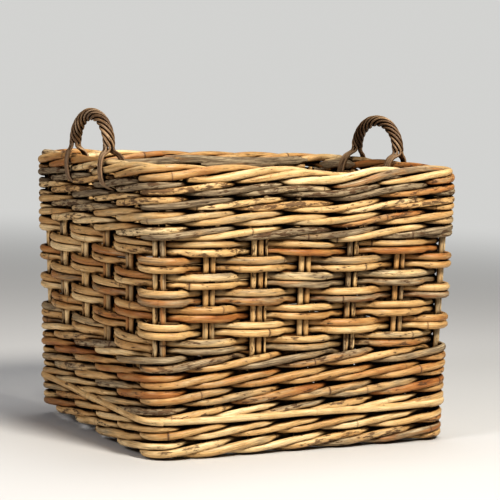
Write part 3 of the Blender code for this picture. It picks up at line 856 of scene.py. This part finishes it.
def make_border():
    """A rolled border: from each stake a thick cane climbs the outside and rolls over the rim."""
    strong = Canes()
    centre = RIM_TOP - BORDER_RADIUS - BORDER_RISE
    for k in range(STAKE_COUNT):
        blunt = k == BLUNT_STRAND
        t = np.linspace(0, ROLL_GAPS + rng.uniform(-0.25, 0.2), 70)
        angle = ROLL_START + ROLL_TURN * t + rng.normal(0, 0.06)
        depth = BORDER_SPREAD * np.cos(angle) * rng.uniform(0.97, 1.06)
        depth = depth + wander(t * GAP, 0.08, 0.7 * MM)
        height = centre + BORDER_RISE * np.sin(angle) + wander(t * GAP, 0.08, 0.7 * MM)
        # The start comes out from between the stakes, under its neighbours.
        tuck = ease(1 - t / 0.45)
        depth = depth + tuck * (5 * MM if blunt else -9 * MM)
        height = height + tuck * (4 * MM if blunt else 1.5 * MM)
        path = wall_points(k + (0.5 if blunt else 0.25) + t, depth, height)
        tone, weather = honey_tones()
        tone = ORANGE_STRANDS.get(k, min(tone + 0.06, 0.48))
        radius = BORDER_RADIUS * rng.uniform(0.9, 1.05)
        tips = (1.0 if blunt else 0.8, 0.97)
        strong.add(path, radius, tone, weather * 0.9, sides=12, tips=tips)
    # Flattened strips of leaf sheath that cling to the inside under the rim.
    for start, length, drop in SHEATHS:
        t = np.linspace(start, start + length, 60)
        depth = -(STAKE_RADIUS + 2 * UPPER_RADIUS - 1.0 * MM) + wander(t * GAP, 0.05, 1.0 * MM)
        height = RIM_TOP - drop + wander(t * GAP, 0.09, 3.0 * MM)
        path = wall_points(t, depth, height)
        strong.add(path, SHEATH_HALF, rng.uniform(0.6, 0.8), 0.75, nodes=False,
                   tips=(0.35, 0.25), flat=SHEATH_FLAT, across_hint=(0.0, 0.05, 1.0))
    nodes = ["border_outer", "border_inner", "border_top"]
    plan(strong, "rolled_border", honey_cane, "honey_cane", *nodes)


# ---------------------------------------------------------------- handles

HANDLE_HALF_SPAN = 0.060  # from the handle's middle to the rope, where the arch springs
HANDLE_SHIFT = 0.012  # how far the handles sit behind the middle of the short sides
HANDLE_SPRING = 0.030  # height of the springing over the rocking axis
HANDLE_RISE = 0.0455  # height of the arch over its springing
ROPE_STRANDS = 7
ROPE_TURNS = -2.0  # twists of the rope from leg to leg, and where the first strand starts
ROPE_PHASE = 0.4
ROPE_REACH = 6.9 * MM  # from the rope's middle to a strand's middle
CORE_SHARE = 1.9  # radius of the rope's core over a strand's
STRAND_STEP = 3.0 * MM  # between the sections of a strand
OUTER_SHARE = 0.25  # how far out a strand stands in the rope, over its reach, to go outside
FOOT_TUCK = 0.030  # how far under the rocking axis the feet are held by the wale


def rope_line(share, outward):
    """Middle of the rope and the direction across it, at shares of the way over the arch."""
    phi = pi * share
    y = HANDLE_SHIFT - HANDLE_HALF_SPAN * np.cos(phi)
    z = HANDLE_SPRING + HANDLE_RISE * np.sin(phi)
    middle = np.stack([0 * phi, y, z], -1)
    along = np.stack([0 * phi, HANDLE_HALF_SPAN * np.sin(phi), HANDLE_RISE * np.cos(phi)], -1)
    along /= np.linalg.norm(along, axis=1)[:, None]
    return middle, np.cross(along, outward)


OUTER_SPACING = 4.3 * MM  # between the canes of a foot that goes over the outside of the rim
INNER_SPACING = 4.6 * MM
# The way of a foot past the rim: how far from the wall's middle, and up from the rocking axis,
# how far swept along the wall with the twist, and how much further from the other leg.
OUTER_FOOT = [(0.0140, 0.018, 0.003, 0.000), (0.0185, 0.000, 0.007, 0.000),
              (0.0180, -0.016, 0.010, 0.000), (0.0165, -0.026, 0.015, 0.000),
              (0.0040, -FOOT_TUCK - 0.003, 0.024, 0.000)]
INNER_FOOT = [(0.0150, 0.018, 0.005, 0.004), (0.0190, 0.000, 0.011, 0.006),
              (0.0180, -0.016, 0.015, 0.008), (0.0165, -0.028, 0.017, 0.009),
              (0.0040, -FOOT_TUCK - 0.008, 0.019, 0.011)]


def make_handle(side_name, side_sign):
    """Gathers a handle's canes, and gives its joint, the rope's canes and those of the feet."""
    joint = next(j for j in frame["joints"] if j["name"] == f"{side_name}_handle_rock")
    pivot = np.array(joint["pos_m"])
    outward = np.array([side_sign, 0.0, 0.0])
    rope, feet = Canes(sag=False), Canes(sag=False)
    share = np.linspace(0, 1, 110)
    middle, beside = rope_line(share, outward)
    for number in range(ROPE_STRANDS + 1):
        core = number == ROPE_STRANDS
        turn = 2 * pi * (ROPE_TURNS * share + number / ROPE_STRANDS) + ROPE_PHASE
        reach = 0 if core else ROPE_REACH
        offset = outward * np.cos(turn)[:, None] + beside * np.sin(turn)[:, None]
        path = pivot + middle + offset * reach
        radius = STRAND_RADIUS * (CORE_SHARE if core else rng.uniform(0.94, 1.08))
        tone, weather = float(rng.uniform(0.15, 0.6)), float(rng.uniform(0.1, 0.5))
        # The core gets the darkest tone: painted shade where it shows between the strands.
        rope.add(path, radius, 0.9 if core else tone, weather, step=STRAND_STEP, nodes=False,
                 bend=1, axis=None if core else pivot + middle)
    # Each foot forks: some canes go over the outside of the rim, the others inside it.
    rim = pivot + [0, HANDLE_SHIFT, 0]
    for end in (0, 1):
        middle, beside = rope_line(np.array([float(end)]), outward)
        y_sign = 2 * end - 1
        turns = 2 * pi * (ROPE_TURNS * end + np.arange(ROPE_STRANDS) / ROPE_STRANDS) + ROPE_PHASE
        offsets = outward * np.cos(turns)[:, None] + beside[0] * np.sin(turns)[:, None]
        order = np.argsort(offsets[:, 1])
        outer = [k for k in order if offsets[k] @ outward > OUTER_SHARE]
        inner = [k for k in order if k not in outer]
        for number in order:
            outside = number in outer
            bundle = outer if outside else inner
            start = pivot + middle[0] + offsets[number] * ROPE_REACH
            spacing = OUTER_SPACING if outside else INNER_SPACING
            fan = (bundle.index(number) - (len(bundle) - 1) / 2) * spacing
            knots = [start, start + np.array([0, y_sign * 0.001, -0.007])]
            for out, up, sweep, part in OUTER_FOOT if outside else INNER_FOOT:
                across = out * (side_sign if outside else -side_sign)
                along = y_sign * (HANDLE_HALF_SPAN + part) + side_sign * sweep + fan
                knots.append(rim + [across, along, up])
            knots = np.array(knots)
            dense = np.linspace(0, len(knots) - 1, 70)
            path = [np.interp(dense, np.arange(len(knots)), knots[:, k]) for k in range(3)]
            path = soften(np.stack(path, -1), 40)
            radius = STRAND_RADIUS * rng.uniform(0.78, 0.92)
            tone, weather = float(rng.uniform(0.1, 0.5)), float(rng.uniform(0.1, 0.5))
            feet.add(path, radius, tone, weather, sides=8, step=STRAND_STEP, nodes=False, bend=0)
    return joint, rope, feet


def finish_handle(side_name, joint, rope, feet, crowding):
    """Makes a handle's two pieces: the rope rocks, and the feet, between it and the rim, are left
    unattached.
    """
    rope_piece = rope.make(f"{side_name}_handle_rope", dark_cane, crowding)
    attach(rope_piece, f"{side_name}_handle")
    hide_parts(*[f"{side_name}_handle_strand_{c}" for c in "abc"])
    feet_piece = feet.make(f"{side_name}_handle_feet", dark_cane, crowding)
    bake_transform(feet_piece)


# ---------------------------------------------------------------- stage, light and camera

LENS_SCALE = 3.727  # focal length over the width of the picture
SENSOR_WIDTH = 36
CAMERA_DISTANCE = 2.929  # from the basket's upright axis
CAMERA_AZIMUTH = -29.71  # degrees round from the front, negative towards the left handle
CAMERA_HEIGHT = 0.5552
CAMERA_YAW = 0.0021  # radians that it looks to the right of that axis
CAMERA_PITCH = 5.335  # degrees down
CAMERA_ROLL = 2.10  # degrees


def add_camera():
    """A long lens, a little over the rim, turned to the left front corner."""
    data = bpy.data.cameras.new("camera")
    data.sensor_width = SENSOR_WIDTH
    data.lens = LENS_SCALE * data.sensor_width
    camera = bpy.data.objects.new("camera", data)
    azimuth, pitch, roll = radians(CAMERA_AZIMUTH), radians(CAMERA_PITCH), radians(CAMERA_ROLL)
    place = Vector((sin(azimuth) * CAMERA_DISTANCE, -cos(azimuth) * CAMERA_DISTANCE, CAMERA_HEIGHT))
    heading = np.arctan2(-place.x, -place.y) + CAMERA_YAW
    forward = Vector((sin(heading) * cos(pitch), cos(heading) * cos(pitch), -sin(pitch)))
    right = Vector((cos(heading), -sin(heading), 0))
    up = right.cross(forward)
    turned_right = right * cos(roll) + up * sin(roll)
    turned_up = up * cos(roll) - right * sin(roll)
    rotation = Matrix((turned_right, turned_up, -forward)).transposed()
    camera.matrix_world = Matrix.Translation(place) @ rotation.to_4x4()
    bpy.context.scene.collection.objects.link(camera)
    bpy.context.scene.camera = camera


LIGHT_AIM = (0, 0, 0.2)


def add_area_light(name, place, size, power, colour):
    """A round soft light that points at the basket."""
    data = bpy.data.lights.new(name, "AREA")
    data.shape = "DISK"
    data.size = size
    data.energy = power
    data.color = colour
    light = bpy.data.objects.new(name, data)
    light.location = place
    direction = Vector(LIGHT_AIM) - Vector(place)
    light.rotation_euler = direction.to_track_quat("-Z", "Y").to_euler()
    bpy.context.scene.collection.objects.link(light)


BACKDROP = (0.60, 0.60, 0.59)  # the pale tone that the floor fades into
FADE = (1.3, 4.5)  # distances between which the floor fades into the backdrop
FLOOR_REACH = 40.0
AMBIENT = 0.15  # strength of the light from all round
EXPOSURE = -0.3


def add_floor():
    """A pale matt floor that fades into the backdrop as the camera sees it further off."""
    mesh = bpy.data.meshes.new("floor")
    corners = [(x * FLOOR_REACH, y * FLOOR_REACH, 0) for x, y in ((-1, -1), (1, -1), (1, 1), (-1, 1))]
    mesh.from_pydata(corners, [], [(0, 1, 2, 3)])
    g = Graph("floor_paint")
    g.shader.inputs["Base Color"].default_value = (0.56, 0.55, 0.535, 1)
    g.shader.inputs["Roughness"].default_value = 0.9
    place = g.node("ShaderNodeNewGeometry")
    length = g.node("ShaderNodeVectorMath", operation="LENGTH")
    g.feed(length.inputs[0], place.outputs["Position"])
    seen = g.node("ShaderNodeLightPath").outputs["Is Camera Ray"]
    glow = g.node("ShaderNodeEmission")
    glow.inputs[0].default_value = (*BACKDROP, 1)
    mixed = g.node("ShaderNodeMixShader")
    g.feed(mixed.inputs[0], g.math("MULTIPLY", seen, g.band(length.outputs["Value"], *FADE)))
    g.feed(mixed.inputs[1], g.shader.outputs[0])
    g.feed(mixed.inputs[2], glow.outputs[0])
    g.feed(g.nodes["Material Output"].inputs[0], mixed.outputs[0])
    mesh.materials.append(g.material)
    floor = bpy.data.objects.new("floor", mesh)
    bpy.context.scene.collection.objects.link(floor)


def add_world():
    """Faint light from all round, and the plain backdrop that the camera sees."""
    world = bpy.data.worlds.new("studio")
    world.use_nodes = True
    nodes, links = world.node_tree.nodes, world.node_tree.links
    around = nodes["Background"]
    around.inputs[0].default_value = (0.86, 0.90, 0.95, 1)
    around.inputs[1].default_value = AMBIENT
    behind = nodes.new("ShaderNodeBackground")
    behind.inputs[0].default_value = (*BACKDROP, 1)
    choice = nodes.new("ShaderNodeMixShader")
    seen = nodes.new("ShaderNodeLightPath")
    links.new(seen.outputs["Is Camera Ray"], choice.inputs[0])
    links.new(around.outputs[0], choice.inputs[1])
    links.new(behind.outputs[0], choice.inputs[2])
    links.new(choice.outputs[0], nodes["World Output"].inputs[0])
    bpy.context.scene.world = world


def add_lights():
    """A warm key light from the front, a fill from the left and a little from overhead."""
    add_area_light("key", (0.25, -2.5, 2.6), 0.9, 150, (1.0, 0.965, 0.90))
    add_area_light("fill", (-3.2, -0.9, 1.8), 0.9, 52, (0.99, 0.97, 1.0))
    add_area_light("top", (0.5, 0.3, 3.0), 1.6, 30, (0.97, 0.98, 1.0))
    view = bpy.context.scene.view_settings
    view.view_transform = "Standard"
    view.look = "High Contrast"
    view.exposure = EXPOSURE


weave_walls()
make_stakes()
make_floor()
make_border()
handles = [(name, *make_handle(name, sign)) for name, sign in (("left", -1), ("right", 1))]
batches = [entry[0] for entry in plans]
batches += [canes for name, joint, *both in handles for canes in both]
crowding = crowding_of(batches)
for canes, name, material, slot, nodes in plans:
    piece = canes.make(name, material, crowding)
    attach(piece, "basket")
    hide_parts(*nodes)
for handle in handles:
    finish_handle(*handle, crowding)
add_floor()
add_world()
add_lights()
add_camera()
